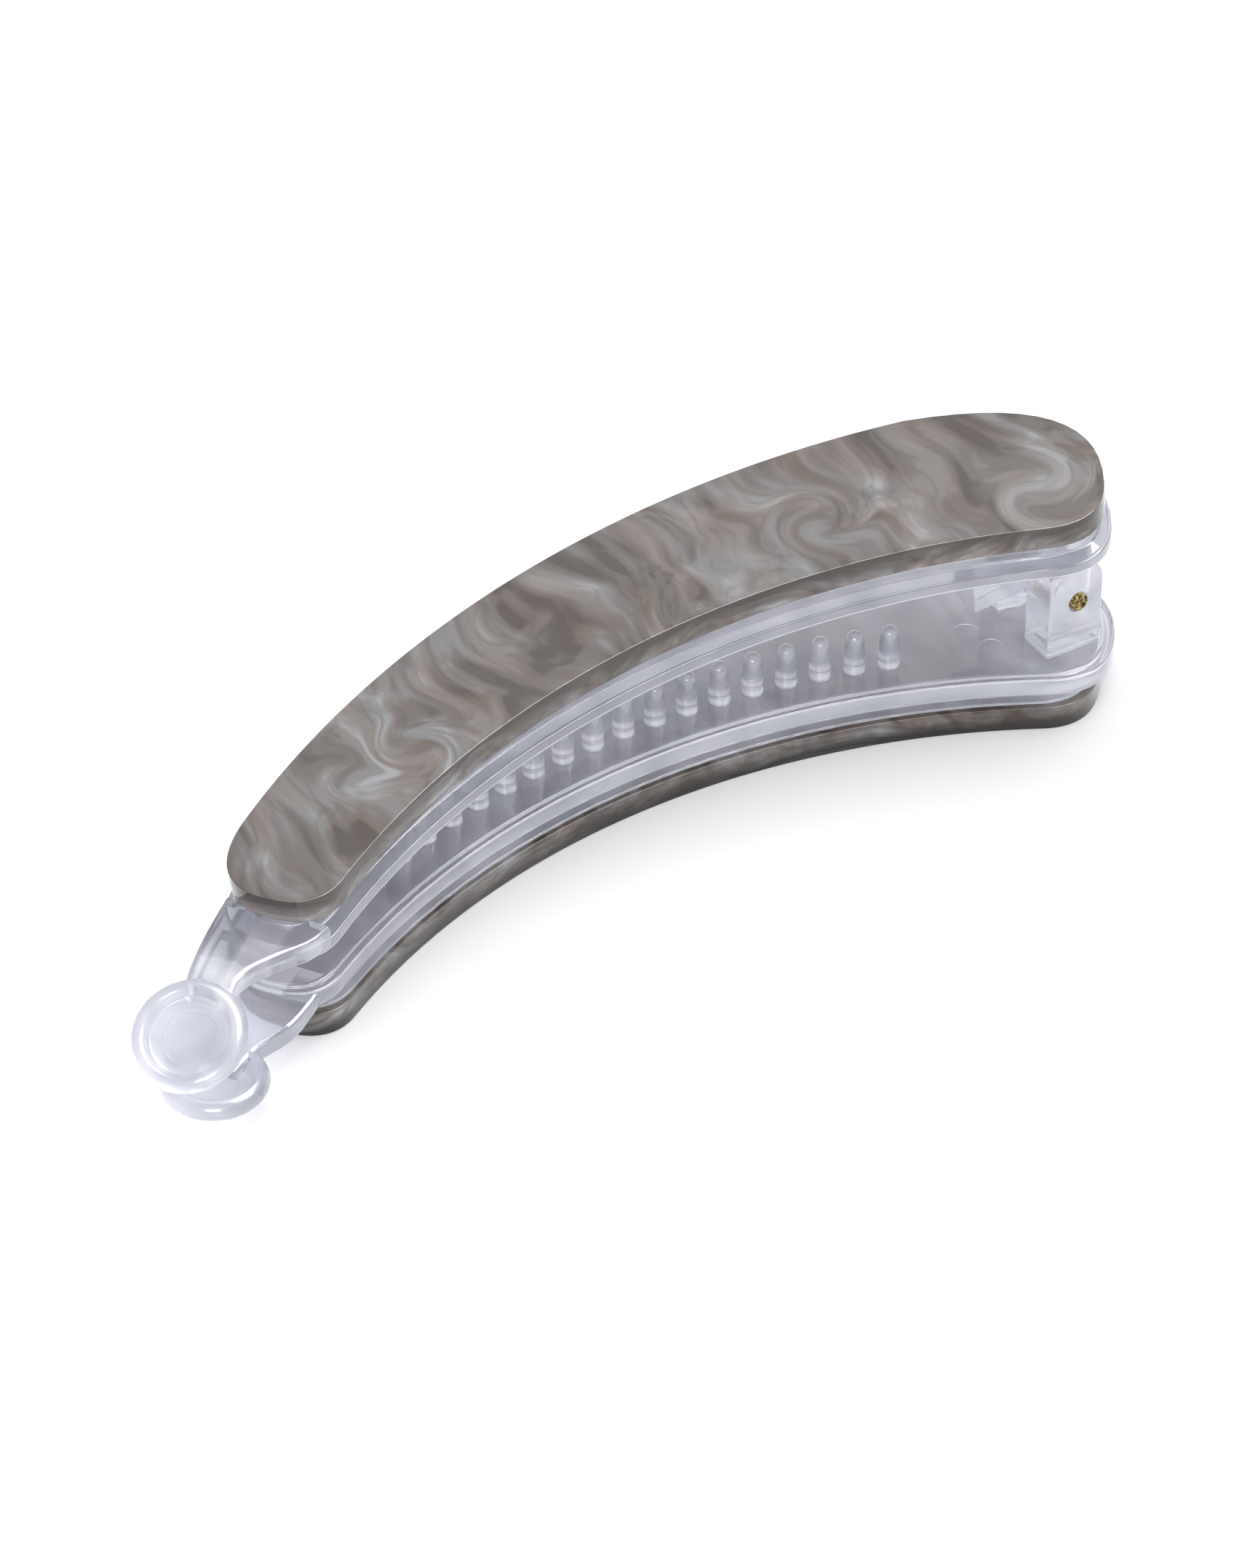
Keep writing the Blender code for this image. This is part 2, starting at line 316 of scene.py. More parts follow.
def in_sheet(add, sheet_frame):
    """Coordinates in millimetres, level with the faces of the sheet."""
    place = add("Mapping", {"Vector": add("TexCoord").outputs["Object"],
                            "Location": sheet_frame.to_translation(),
                            "Rotation": sheet_frame.to_euler()}, vector_type="TEXTURE").outputs[0]
    return add("VectorMath", {0: place, "Scale": 1 / MM}, operation="SCALE").outputs[0]


def stirred(add, flow, curls):
    """The sheet's coordinates after the stirring rod and the folds."""
    for x, y, radius, turn in curls:
        flat = add("VectorMath", {0: flow, 1: (1.0, 1.0, 0.0)}, operation="MULTIPLY").outputs[0]
        far = add("VectorMath", {0: flat, 1: (x, y, 0.0)}, operation="DISTANCE").outputs["Value"]
        fade = add("MapRange", {"Value": far, "From Min": 0.0, "From Max": radius,
                                "To Min": math.radians(turn), "To Max": 0.0},
                   interpolation_type="SMOOTHERSTEP").outputs[0]
        flow = add("VectorRotate", {"Vector": flow, "Center": (x, y, 0.0), "Angle": fade},
                   rotation_type="Z_AXIS").outputs[0]
    for scale, reach in FOLDS:
        fold = add("TexNoise", {"Vector": flow, "Scale": scale, "Detail": 0.0}).outputs["Color"]
        fold = add("VectorMath", {0: fold, 1: (0.5, 0.5, 0.5)}, operation="SUBTRACT").outputs[0]
        fold = add("VectorMath", {0: fold, "Scale": reach}, operation="SCALE").outputs[0]
        flow = add("VectorMath", {0: flow, 1: fold}, operation="ADD").outputs[0]
    return flow


print("curls in the plates:", len(UPPER_CURLS), "and", len(LOWER_CURLS))

# %% [markdown]
# ### Clouds, layers and veins
#
# Noise that is stretched along the flow gives streaks. Broad clouds and thin
# drawn-out layers are mixed into one value, and two colour ramps turn that value
# into a warm and a cool pearl. A vein runs where one more noise crosses its own
# middle, because such a crossing is always a thin unbroken line.

# %% Streaks and tones
# Tones of the sheet, dark to light. They are deeper than they look on the clip,
# because the table is lit brightly enough to burn out to white.
WARM_TONES = ((0.38, (68, 57, 51)), (0.47, (96, 86, 80)),
              (0.56, (116, 108, 104)), (0.70, (141, 136, 134)))
COOL_TONES = ((0.38, (72, 66, 63)), (0.47, (98, 93, 91)),
              (0.56, (117, 115, 115)), (0.70, (149, 150, 153)))
VEIN_TONE = (74, 62, 56)


def streaks(add, flow, across, along, thick, detail):
    drawn = add("VectorMath", {0: flow, 1: (across, along, thick)}, operation="MULTIPLY").outputs[0]
    return add("TexNoise", {"Vector": drawn, "Scale": 1.0, "Detail": detail,
                            "Roughness": 0.45}).outputs["Fac"]


def toned(add, value, stops):
    tones = add("ValToRGB", {"Fac": value})
    ramp = tones.color_ramp
    ramp.interpolation = "EASE"
    while len(ramp.elements) < len(stops):
        ramp.elements.new(0.5)
    for element, (at, tone) in zip(ramp.elements, stops):
        element.position, element.color = at, from_sampled(*tone)
    return tones.outputs["Color"]


print("tones of pearl:", len(WARM_TONES) + len(COOL_TONES))

# %% Pearl with veins in it
# How fine the streaks are across, along and through the sheet, and their detail.
CLOUDS, LAYERS = (0.13, 0.05, 0.3, 1.0), (0.50, 0.055, 0.9, 2.0)
COOL_PATCHES, VEINS = (0.22, 0.06, 0.5, 1.5), (0.24, 0.04, 0.5, 1.0)
LAYER_SHARE, VEIN_WIDTH, VEIN_STRENGTH = 0.42, 0.06, 0.24


def pearl_colour(add, flow):
    """How cloudy the sheet is, and its colour with the veins in it."""
    clouds, layers = streaks(add, flow, *CLOUDS), streaks(add, flow, *LAYERS)
    cloudy = add("Mix", {"Factor": LAYER_SHARE, 2: clouds, 3: layers}).outputs[0]
    cool = add("MapRange", {"Value": streaks(add, flow, *COOL_PATCHES),
                            "From Min": 0.40, "From Max": 0.60}).outputs[0]
    pearl = add("Mix", {"Factor": cool, 6: toned(add, cloudy, WARM_TONES),
                        7: toned(add, cloudy, COOL_TONES)}, data_type="RGBA").outputs[2]
    crossing = add("Math", {0: streaks(add, flow, *VEINS), 1: 0.5}, operation="SUBTRACT").outputs[0]
    crossing = add("Math", {0: crossing}, operation="ABSOLUTE").outputs[0]
    vein = add("MapRange", {"Value": crossing, "From Min": 0.0, "From Max": VEIN_WIDTH,
                            "To Min": VEIN_STRENGTH, "To Max": 0.0},
               interpolation_type="SMOOTHSTEP").outputs[0]
    veined = add("Mix", {"Factor": vein, 6: pearl, 7: from_sampled(*VEIN_TONE)}, data_type="RGBA")
    return cloudy, veined.outputs[2]


print("share of the layers:", LAYER_SHARE)

# %% [markdown]
# ### The cut edge of a plate, with painted shade
#
# The pearl flakes settle flat in the sheet, so a cut edge is darker than the
# face. Shade is painted into the edge's colour on top of that: it darkens
# towards the outer face, where no light comes through the clear jaw behind it,
# and the lower plate gets the darker painted shade of the two, because it lies
# in the shade of the clip. The nodes find the edge by how steep the surface
# is, and the depth in the sheet by the height in the plate's own frame.

# %% Painted shade, darker towards the outer face
# Edge tones with painted shade; the lower plate's is darker, for the shade of the clip.
UPPER_EDGE_SHADE_TONE, LOWER_EDGE_SHADE_TONE = (58, 51, 48), (20, 16, 14)
EDGE_SEAMS = (0.05, 0.05, 1.0, 1.0)  # streaks that run along the edge


def cut_edge_shade(add, flow, depth, shell_side, outer_side):
    """Mask of the cut edge's darkening, partly painted shade: 1 where darkest, 0 on the faces."""
    upright = add("SeparateXYZ", {0: add("TexCoord").outputs["Normal"]}).outputs["Z"]
    upright = add("Math", {0: upright}, operation="ABSOLUTE").outputs[0]
    # Painted shade: darkest by the outer face, where no light comes through the jaw.
    dark = add("MapRange", {"Value": depth, "From Min": shell_side, "From Max": outer_side},
               interpolation_type="SMOOTHSTEP").outputs[0]
    seam = add("MapRange", {"Value": streaks(add, flow, *EDGE_SEAMS), "From Min": 0.35,
                            "From Max": 0.62, "To Min": -0.15, "To Max": 0.2}).outputs[0]
    seam = add("Math", {0: seam, 1: dark}, operation="ADD", use_clamp=True).outputs[0]
    return add("MapRange", {"Value": upright, "From Min": 0.5, "From Max": 0.99,
                            "To Min": seam, "To Max": 0.0}).outputs[0]


print("edge tones:", UPPER_EDGE_SHADE_TONE, LOWER_EDGE_SHADE_TONE)

# %% [markdown]
# ### The two acetates
#
# Polished acetate has a deep gloss over a body that shines very little itself,
# so the shader gets a low specular level and a full clear coat. The plates are
# cut from two places of the sheet, and each finish is made in its plate's frame.

# %% Acetate of both plates
PLATE_T = 3.0                    # thickness of the sheet
GAP = 0.3                        # kept between separate pieces
UPPER_TOP_Z = 14.5               # top of the upper jaw, above the pin
UPPER_UNDER = UPPER_TOP_Z + GAP  # underside of the upper plate


def marbled_acetate(name, sheet_frame, curls, shell_side, outer_side, edge_shade_tone):
    """Acetate of one plate, with the heights of its faces in its own frame."""
    finish, shader, add, to_shader = new_finish(name)
    flow = in_sheet(add, sheet_frame)
    depth = add("SeparateXYZ", {0: flow}).outputs["Z"]
    flow = stirred(add, flow, curls)
    cloudy, pearl = pearl_colour(add, flow)
    # The cut edge's darkening, partly painted shade, is mixed into the pearl.
    edge = cut_edge_shade(add, flow, depth, shell_side, outer_side)
    color = add("Mix", {"Factor": edge, 6: pearl, 7: from_sampled(*edge_shade_tone)}, data_type="RGBA")
    gloss = add("MapRange", {"Value": cloudy, "To Min": 0.42, "To Max": 0.28}).outputs[0]
    ripple = add("TexNoise", {"Vector": flow, "Scale": 0.35, "Detail": 2.0}).outputs["Fac"]
    bump = add("Bump", {"Height": ripple, "Strength": 0.04, "Distance": 0.0003}).outputs[0]
    to_shader(Base_Color=color.outputs[2], Roughness=gloss, Normal=bump, Coat_Normal=bump)
    shader.inputs["Specular IOR Level"].default_value = 0.2
    shader.inputs["Coat Weight"].default_value = 1.0
    shader.inputs["Coat Roughness"].default_value = 0.05
    shader.inputs["Coat IOR"].default_value = 1.48
    return finish


upper_acetate = marbled_acetate("upper_marbled_acetate", UPPER_FRAME, UPPER_CURLS,
                                UPPER_UNDER, UPPER_UNDER + PLATE_T, UPPER_EDGE_SHADE_TONE)
lower_acetate = marbled_acetate("lower_marbled_acetate", LOWER_FRAME, LOWER_CURLS,
                                PLATE_T, 0.0, LOWER_EDGE_SHADE_TONE)
print("acetate nodes:", len(upper_acetate.node_tree.nodes))

# %% [markdown]
# ## The cover plates
#
# Each plate is a 3 mm slice of acetate, cut to the banana outline and tumbled
# until its edges are soft. Its section starts on the underside, goes round the
# cut edge with two small roundings, and ends on the top. Both faces stay flat,
# because the polish left them true.

# %% Upper and lower plate
PLATE_ROUND, FACE_INSET = 0.10, 2.0


def plate_section(low, high):
    edge = (0.0, 0.0, 0.0, 0.0)
    face = inside(edge, FACE_INSET)
    return [(*face, low, 0.0), (*edge, low, PLATE_ROUND),
            (*edge, high, PLATE_ROUND), (*face, high, 0.0)]


upper_section = plate_section(UPPER_UNDER, UPPER_UNDER + PLATE_T - 2 * HAIR)
upper_cover = add_band("upper_cover", UPPER_ENDS, upper_section, UPPER_FRAME, UPPER_PIN_X)
lower_cover = add_band("lower_cover", LOWER_ENDS, plate_section(0.0, PLATE_T), LOWER_FRAME)
finish_piece(upper_cover, upper_acetate, "upper", "upper_plate")
finish_piece(lower_cover, lower_acetate, "lower", "lower_plate")

# %% [markdown]
# ## Clear moulded plastic
#
# The jaws are injection moulded in a water-clear plastic that has a faint
# lavender cast. A pure glass shader looks too hard, so a small part of the light
# is scattered and the surface has the slight unevenness that a mould leaves.
# The plastic also looks different from place to place, and some of that is
# painted light and shade. Masks say where, and a mask is a value from 0 to 1
# that is worked out from a place on the clip.

# %% Masks by place
def fade_in(add, value, start, stop):
    """Mask that rises from 0 at start to 1 at stop, both in millimetres."""
    return add("MapRange", {"Value": value, "From Min": start * MM,
                            "From Max": stop * MM}).outputs[0]


def away_from(add, value, level):
    """How far a value is from a level that is given in millimetres."""
    off = add("Math", {0: value, 1: level * MM}, operation="SUBTRACT").outputs[0]
    return add("Math", {0: off}, operation="ABSOLUTE").outputs[0]


def where_all(add, *masks):
    """Mask that holds only where all the masks hold."""
    result = masks[0]
    for mask in masks[1:]:
        result = add("Math", {0: result, 1: mask}, operation="MULTIPLY").outputs[0]
    return result


def where_any(add, *masks):
    """Mask that holds where any of the masks holds."""
    result = masks[0]
    for mask in masks[1:]:
        result = add("Math", {0: result, 1: mask}, operation="MAXIMUM").outputs[0]
    return result

# %% [markdown]
# ### Where light is painted into the clear plastic
#
# Clear plastic catches light and lets it out again in certain places. On the
# clip those are the feet and tips of the teeth, the blocks of the hinge and the
# inner edge of each jaw. A render could find them by following the light through
# the plastic, but that takes very long and stays noisy. Masks paint that light
# in instead: a painted glow at the feet of the teeth and on the blocks, and
# painted highlights on the tips and along the inner edges. Where the masks hold,
# the finish turns whiter and less see-through.

# %% Masks for the painted glow and highlights
TOOTH_ROW_R, FLOOR_Z = 97.1, 5.7         # the teeth from the curve's centre, and the tray floor
LOWER_EDGE_Z, UPPER_EDGE_Z = 6.22, 9.78  # the inner edges, each in its jaw's frame
EDGE_LINE = 0.16                         # half the width of the line along them
# Painted light: how strongly glow and highlights are painted in at each place.
FOOT_GLOW, TIP_GLOW, BLOCK_GLOW, EDGE_GLOW = 0.60, 0.30, 0.27, 0.55


# Painted glow on the feet of the teeth and the hinge blocks, painted highlights on the tips.
def in_teeth_and_blocks(add, place, along):
    height = add("SeparateXYZ", {0: place}).outputs["Z"]
    flat = add("VectorMath", {0: place, 1: (1.0, 1.0, 0.0)}, operation="MULTIPLY").outputs[0]
    reach = add("VectorMath", {0: flat, 1: CURVE_CENTRE * MM}, operation="DISTANCE")
    off_row = away_from(add, reach.outputs["Value"], TOOTH_ROW_R)
    in_row = where_all(add, fade_in(add, off_row, 2.2, 1.6), fade_in(add, along, 45.0, 43.0))
    foot = where_all(add, in_row, fade_in(add, height, FLOOR_Z + 0.05, FLOOR_Z + 0.3),
                     fade_in(add, height, FLOOR_Z + 1.3, FLOOR_Z + 0.7), FOOT_GLOW)
    tip = where_all(add, in_row, fade_in(add, height, FLOOR_Z + 3.8, FLOOR_Z + 5.2), TIP_GLOW)
    block = where_all(add, fade_in(add, along, 46.0, 48.0),
                      fade_in(add, height, FLOOR_Z + 0.8, FLOOR_Z + 1.6),
                      fade_in(add, height, 21.0, 19.0), BLOCK_GLOW)
    return where_any(add, foot, tip, block)


# Painted highlight: a bright line along the inner edge of a jaw.
def on_inner_edge(add, place, jaw_frame, edge_z):
    level = add("Mapping", {"Vector": place, "Location": jaw_frame.to_translation(),
                            "Rotation": jaw_frame.to_euler()}, vector_type="TEXTURE").outputs[0]
    off = away_from(add, add("SeparateXYZ", {0: level}).outputs["Z"], edge_z)
    return where_all(add, fade_in(add, off, EDGE_LINE, EDGE_LINE / 2), EDGE_GLOW)


# The strongest painted glow or highlight, from 0 to 1.
print("milkiest place, from 0 to 1:", max(FOOT_GLOW, TIP_GLOW, BLOCK_GLOW, EDGE_GLOW))

# %% [markdown]
# ### The plastic of each jaw
#
# The arms and pads beyond the clasp are thicker than the shells and look greyer.
# Shade is painted into their tones as well: the upper arm is darkest, as a
# painted reflection of the dark plate beside it, and the pads are darkened as
# painted shade for the shadow that the shells don't cast, the lower pad most.
# Fingers have rubbed the pads dull. Each jaw gets a finish of its own, because
# the two arms and pads differ in tone.

# %% Tones and clearness
TINT_LOW, TINT_HIGH = (0.54, 0.55, 0.61, 1.0), (0.75, 0.755, 0.81, 1.0)
# Greyer for thickness, and darker by painted shade; the upper arm's dark is a painted reflection of
# its plate.
UPPER_ARM_GREY_AND_REFLECTION, UPPER_PAD_GREY_AND_SHADE = (0.55, 0.55, 0.58, 1.0), (0.86, 0.86, 0.87, 1.0)
LOWER_ARM_TONE, LOWER_PAD_GREY_AND_SHADE = (0.98, 0.98, 1.0, 1.0), (0.76, 0.76, 0.78, 1.0)
# Colour of the painted glow and highlights.
PAINTED_GLOW_TONE = (0.95, 0.95, 0.98, 1.0)
ARM_X, PAD_X = (-44.0, -52.0), (-52.0, -56.0)  # where the arms and the pads begin
PAD_RUB = 0.24                                 # roughness that fingers have added
# The plastic passes less light where light is painted in.
CLEAREST, CLEAR_UNDER_GLOW = 0.80, 0.30                # share of the light that passes
print("light that passes:", CLEAREST, "down to", CLEAR_UNDER_GLOW)

# %% Clear plastic of a jaw
def clear_plastic(name, jaw_frame, edge_z, arm_grey_and_shade, pad_grey_and_shade):
    """Clear plastic of one jaw, with its inner edge's height in its own frame."""
    finish, shader, add, to_shader = new_finish(name)
    place = add("TexCoord").outputs["Object"]
    along = add("SeparateXYZ", {0: place}).outputs["X"]
    solid, on_pad = fade_in(add, along, *ARM_X), fade_in(add, along, *PAD_X)

    flow_lines = add("TexNoise", {"Vector": place, "Scale": 160.0, "Detail": 2.0}).outputs["Fac"]
    haze = add("MapRange", {"Value": flow_lines, "To Min": 0.05, "To Max": 0.17}).outputs[0]
    haze = add("Math", {0: haze, 1: where_all(add, on_pad, PAD_RUB)}, operation="ADD").outputs[0]
    shrink = add("TexNoise", {"Vector": place, "Scale": 320.0, "Detail": 1.0}).outputs["Fac"]
    bump = add("Bump", {"Height": shrink, "Strength": 0.15, "Distance": 0.0003}).outputs[0]

    thin_only = add("Math", {0: 1.0, 1: solid}, operation="SUBTRACT").outputs[0]
    # Painted light: glow and highlights whiten the plastic and make it less see-through.
    edge = where_all(add, on_inner_edge(add, place, jaw_frame, edge_z), thin_only)
    painted_glow = where_any(add, in_teeth_and_blocks(add, place, along), edge)
    clear = add("MapRange", {"Value": painted_glow, "To Min": CLEAREST, "To Max": CLEAR_UNDER_GLOW}).outputs[0]

    tint = add("ValToRGB", {"Fac": flow_lines})
    for stop, at, colour in zip(tint.color_ramp.elements, (0.30, 0.70), (TINT_LOW, TINT_HIGH)):
        stop.position, stop.color = at, colour
    # Arms and pads: greyer for thickness, with painted shade and a painted reflection.
    thick = add("Mix", {"Factor": on_pad, 6: arm_grey_and_shade, 7: pad_grey_and_shade}, data_type="RGBA").outputs[2]
    tone = add("Mix", {"Factor": solid, 6: tint.outputs["Color"], 7: thick}, data_type="RGBA",
               blend_type="MULTIPLY").outputs[2]
    tone = add("Mix", {"Factor": painted_glow, 6: tone, 7: PAINTED_GLOW_TONE}, data_type="RGBA").outputs[2]
    to_shader(Base_Color=tone, Roughness=haze, Transmission_Weight=clear,
              Normal=bump, Coat_Normal=bump)
    shader.inputs["IOR"].default_value = 1.49
    shader.inputs["Coat Weight"].default_value = 0.7
    shader.inputs["Coat Roughness"].default_value = 0.03
    shader.inputs["Coat IOR"].default_value = 1.49
    return finish

# %% Plastic of both jaws
lower_plastic = clear_plastic("lower_clear_plastic", LOWER_FRAME, LOWER_EDGE_Z,
                              LOWER_ARM_TONE, LOWER_PAD_GREY_AND_SHADE)
upper_plastic = clear_plastic("upper_clear_plastic", UPPER_FRAME, UPPER_EDGE_Z,
                              UPPER_ARM_GREY_AND_REFLECTION, UPPER_PAD_GREY_AND_SHADE)
print("plastic nodes:", len(lower_plastic.node_tree.nodes))

# %% [markdown]
# ## Parts that grow from a jaw
#
# A mould makes the teeth, the hinge lugs, the clasp arm and the finger pad in
# one piece with the jaw. In Blender they are easiest as separate closed solids
# that a Boolean unites. Each tool is thrown away once the union is worked out.
# A turned solid comes from rows of radius and height, as on a lathe, and a block
# from an outline that is pulled straight and broken at its edges by a bevel.

# %% Uniting and cutting
def work_out(target, operation, tools):
    """Unites the tools with the target, or cuts them out, and clears them away."""
    for tool in tools:
        step = target.modifiers.new(tool.name, "BOOLEAN")
        step.operation = operation
        step.solver = "EXACT"
        step.object = tool
    depsgraph = bpy.context.evaluated_depsgraph_get()
    result = bpy.data.meshes.new_from_object(target.evaluated_get(depsgraph))
    target.modifiers.clear()
    target.data = result
    for tool in tools:
        bpy.data.objects.remove(tool, do_unlink=True)
    print(target.name, operation.lower(), "left", len(result.polygons), "faces")

# %% Turned solids and moulded blocks
BEVEL_STEPS, BEVEL_ANGLE = 3, 40.0


def add_turned(name, rows, sides, place):
    """Round solid about its own Z, from rows of radius and height."""
    loops = [[(*polar(radius, 360.0 * i / sides), z) for i in range(sides)] for radius, z in rows]
    return add_solid(name, loops, place)


def at_lower(x, y, z):
    return LOWER_FRAME @ Matrix.Translation(Vector((x, y, z)) * MM)


def at_upper(x, y, z):
    return UPPER_FRAME @ Matrix.Translation(Vector((x, y, z)) * MM)


def add_block(name, outline, y_range, radius, place):
    """Block with an outline seen from the front and softly broken edges."""
    block = add_solid(name, [[(x, y, z) for x, z in outline] for y in y_range], place)
    soft = block.modifiers.new("soft_edges", "BEVEL")
    soft.width = radius * MM
    soft.segments = BEVEL_STEPS
    soft.limit_method = "ANGLE"
    soft.angle_limit = math.radians(BEVEL_ANGLE)
    return block

# %% A hole for the pin
ALONG_Y = Matrix.Rotation(-math.radians(90.0), 4, "X")  # lays a turned solid along Y
HOLE_R, HOLE_FROM, HOLE_TO, HOLE_SIDES = 1.35, 80.0, 100.0, 40


def pin_hole(name, place):
    """Cutter for the hole, at a place on the pin's axis."""
    return add_turned(name, ((HOLE_R, HOLE_FROM), (HOLE_R, HOLE_TO)), HOLE_SIDES,
                      place @ ALONG_Y)


print("hole", 2 * HOLE_R, "mm wide")

# %% [markdown]
# ## Clasp arms
#
# At the clasp each jaw narrows to an arm with a round pad, which the fingers
# squeeze to slide the jaws past each other. A bent box would give the arm stiff
# lines. Here it is drawn as a few stations, which are sections with four measures
# each, and a smooth curve is passed through them. The upper arm is hollowed from
# below by a smaller run of stations, because thick plastic shrinks in a mould.

# %% Stations of the two arms
# Stations: along the curve's run, inner edge, outer edge, underside, top.
UPPER_ARM = (
    (-3.0, -5.4, 7.0, 10.2, 13.2),
    (0.0, -4.6, 6.7, 10.4, 13.2),
    (3.0, -2.6, 6.4, 10.5, 13.1),
    (6.0, -0.7, 6.0, 10.4, 12.9),
    (8.6, -0.1, 5.6, 10.2, 12.4),
    (11.0, -0.6, 5.2, 9.4, 11.2),
)
LOWER_ARM = (
    (-3.0, -5.2, 5.8, 4.2, 6.2),
    (0.5, -5.1, 5.7, 3.6, 5.9),
    (4.5, -4.3, 4.8, 2.6, 5.0),
    (8.5, -2.1, 3.4, 1.9, 4.1),
    (12.0, -1.4, 2.4, 1.7, 3.6),
)
print("stations:", len(UPPER_ARM), "and", len(LOWER_ARM))

# %% Smooth run of stations
CLASP_TURN = 124.8  # the clasp end's angle on the curve
STATION_STEPS = 6


def clasp_place(along, across):
    """Point beside the clasp end: along the curve's run, and across, outwards."""
    (ox, oy), (nx, ny) = polar(END_ROW_R, CLASP_TURN), polar(1.0, CLASP_TURN)
    return ox - ny * along + nx * across, oy + nx * along + ny * across


def through_stations(stations):
    """Smooth run of stations, on a curve through each one."""
    run = []
    for k in range(len(stations) - 1):
        a, b = stations[max(k - 1, 0)], stations[k]
        c, d = stations[k + 1], stations[min(k + 2, len(stations) - 1)]
        for s in spread(0.0, 1.0, STATION_STEPS)[:-1]:
            run.append(tuple(0.5 * (2 * q + (r - p) * s + (2 * p - 5 * q + 4 * r - t) * s ** 2
                                    + (3 * q - p - 3 * r + t) * s ** 3)
                             for p, q, r, t in zip(a, b, c, d)))
    return run + [stations[-1]]


def cored(stations, wall, roof):
    """Stations of the hollow under an arm, which leaves a wall and a roof."""
    below = 1.0
    return [(along + wall, inner + wall, outer - wall, low - below, high - roof)
            for along, inner, outer, low, high in stations[1:-1]]


print("sections in the upper arm:", len(through_stations(UPPER_ARM)))

# %% Arm with rounded corners
ARM_ROUND, ARM_CORNER_STEPS = 0.7, 4


def add_arm(name, stations):
    loops, e = [], ARM_ROUND
    for along, inner, outer, low, high in through_stations(stations):
        corners = (((outer - e, low), (outer, low), (outer, low + e)),
                   ((outer, high - e), (outer, high), (outer - e, high)),
                   ((inner + e, high), (inner, high), (inner, high - e)),
                   ((inner, low + e), (inner, low), (inner + e, low)))
        section = [point for corner in corners for point in bend(*corner, ARM_CORNER_STEPS)]
        loops.append([(*clasp_place(along, across), z) for across, z in section])
    return add_solid(name, loops, LOWER_FRAME)


print("arm corners rounded by", ARM_ROUND, "mm")

# %% [markdown]
# ### The finger pads
#
# A pad is a thick disc with a full round rim, a dish for the fingertip and a
# shallow step inside the dish. It is turned from rows of radius and height, from
# the underside round the rim and down into the dish. The upper pad is tilted
# towards the fingers, and the lower one lies level.

# %% Pads turned like small bowls
PAD_SIDES = 72
# Place beside the clasp end and height, radius, thickness, and tilt in degrees.
UPPER_PAD = {"at": (14.2, 2.65), "z": 8.8, "radius": 6.37, "thick": 2.6, "tilt": 30.0}
LOWER_PAD = {"at": (13.2, 0.5), "z": 2.6, "radius": 5.88, "thick": 2.8, "tilt": 0.0}


def add_pad(name, pad):
    r, h = pad["radius"], pad["thick"] / 2
    rows = [(r - 1.9, -h), (r - 1.2, -0.93 * h), (r - 0.55, -0.66 * h), (r - 0.15, -0.3 * h),
            (r, 0.05 * h), (r - 0.12, 0.38 * h), (r - 0.4, 0.7 * h), (r - 0.8, 0.93 * h),
            (r - 1.15, h), (r - 1.5, 0.93 * h), (r - 1.75, 0.72 * h), (r - 1.92, 0.4 * h),
            (r - 2.05, 0.12 * h), (r - 2.3, 0.02 * h), (r - 3.3, 0.0), (r - 3.45, -0.14 * h),
            (r - 3.8, -0.18 * h)]
    turn = Matrix.Rotation(math.radians(CLASP_TURN + 90.0), 4, "Z")
    tip = Matrix.Rotation(math.radians(pad["tilt"]), 4, "Y")
    place = at_lower(*clasp_place(*pad["at"]), pad["z"]) @ turn @ tip
    return add_turned(name, rows, PAD_SIDES, place)


print("pads", 2 * UPPER_PAD["radius"], "and", 2 * LOWER_PAD["radius"], "mm across")

# %% [markdown]
# ## The lower jaw
#
# The lower jaw is a shallow tray: a thin foot that sits on the plate, a narrower
# neck, a wider flange with a low rim, and a floor. A fine groove runs round the
# top of the rim, and it shows as a double line. All of that is one section, which
# starts under the foot, goes up the outside, over the rim and down to the floor.

# %% Tray of the lower jaw
# Each edge of the plan: inset at the front and the back, and out at hinge and clasp.
FOOT, LOWER_NECK = (0.35, 1.6, -0.8, -0.8), (1.5, 1.6, -0.8, -0.8)
LOWER_FLANGE, RIM_W = (0.9, -0.8, 1.4, 0.8), 1.45
TRAY = inside(LOWER_FLANGE, RIM_W)
FOOT_Z, FLANGE_Z, GROOVE_Z, RIM_Z = 3.65, 4.1, 6.05, 6.4
NECK_CAP, FLOOR_CAP = 3.0, 1.5  # how far in the flat ends of a section begin

groove = [inside(LOWER_FLANGE, by) for by in (0.40, 0.52, 0.92, 1.04)]
tray_section = [(*inside(LOWER_NECK, NECK_CAP), PLATE_T + GAP, 0.0), (*FOOT, PLATE_T + GAP, 0.1),
                (*FOOT, FOOT_Z, 0.12), (*LOWER_NECK, FOOT_Z, 0.1), (*LOWER_NECK, FLANGE_Z, 0.1),
                (*LOWER_FLANGE, FLANGE_Z, 0.22), (*LOWER_FLANGE, RIM_Z, 0.22),
                (*groove[0], RIM_Z, 0.1), (*groove[1], GROOVE_Z, 0.1),
                (*groove[2], GROOVE_Z, 0.1), (*groove[3], RIM_Z, 0.1),
                (*TRAY, RIM_Z, 0.2), (*TRAY, FLOOR_Z, 0.3),
                (*inside(TRAY, FLOOR_CAP), FLOOR_Z, 0.0)]
lower_shell = add_band("lower_shell", LOWER_ENDS, tray_section, LOWER_FRAME)
print("tray", round(RIM_Z - FLOOR_Z, 2), "mm deep")

